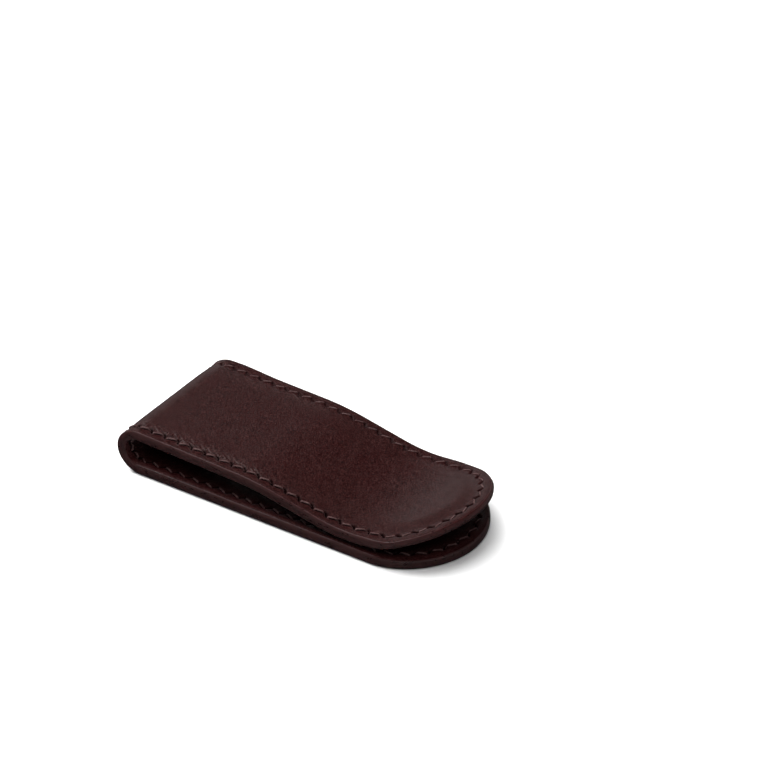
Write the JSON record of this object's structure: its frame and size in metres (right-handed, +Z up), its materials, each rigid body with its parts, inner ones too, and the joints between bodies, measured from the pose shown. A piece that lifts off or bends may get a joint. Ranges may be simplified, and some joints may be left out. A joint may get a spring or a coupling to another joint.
{
  "type": "money clip",
  "caption": "Leather-covered spring money clip: a sewn U-shaped strap whose front leaf pinches folded banknotes against a flat back leaf and kicks up at the tip.",
  "frame": {"origin": "under the middle of the folded clip, on the surface that its back leaf lies on", "axes": "+X from the bend to the kicked-up tip, +Y across the strap, +Z up from the back leaf to the front leaf"},
  "size_m": [0.0636, 0.027, 0.0091],
  "materials": {
    "outer_leather": "smooth fine-grained calf, burgundy-brown, low sheen",
    "lining_leather": "smooth calf lining, burgundy-brown, low sheen",
    "spring_steel": "rolled spring steel strip, satin",
    "thread": "waxed sewing thread, burgundy-brown",
    "edge_paint": "dark edge paint, satin"
  },
  "bodies": {
    "back_leaf": {"outer_cover_bend": "outer_leather", "outer_cover_back": "outer_leather", "lining_bend": "lining_leather", "lining_back": "lining_leather", "spring_core_bend": "spring_steel", "spring_core_back": "spring_steel", "needle_thread_bend": "thread", "needle_thread_back": "thread", "bobbin_thread_bend": "thread", "bobbin_thread_back": "thread", "edge_paint_bend": "edge_paint", "edge_paint_back": "edge_paint"},
    "front_leaf": {"outer_cover_front": "outer_leather", "lining_front": "lining_leather", "spring_core_front": "spring_steel", "needle_thread_front": "thread", "bobbin_thread_front": "thread", "edge_paint_front": "edge_paint"}
  },
  "joints": [
    {"name": "clip_flex", "type": "hinge", "parent": "back_leaf", "child": "front_leaf", "pos_m": [-0.02739, 0, 0.0044], "axis": [0, -1, 0], "range_deg": [0, 9], "stiffness_Nm_per_rad": 1.2, "springref_deg": -6.88, "deforming": ["outer_cover_bend", "lining_bend", "spring_core_bend", "needle_thread_bend", "bobbin_thread_bend", "edge_paint_bend"]}
  ]
}
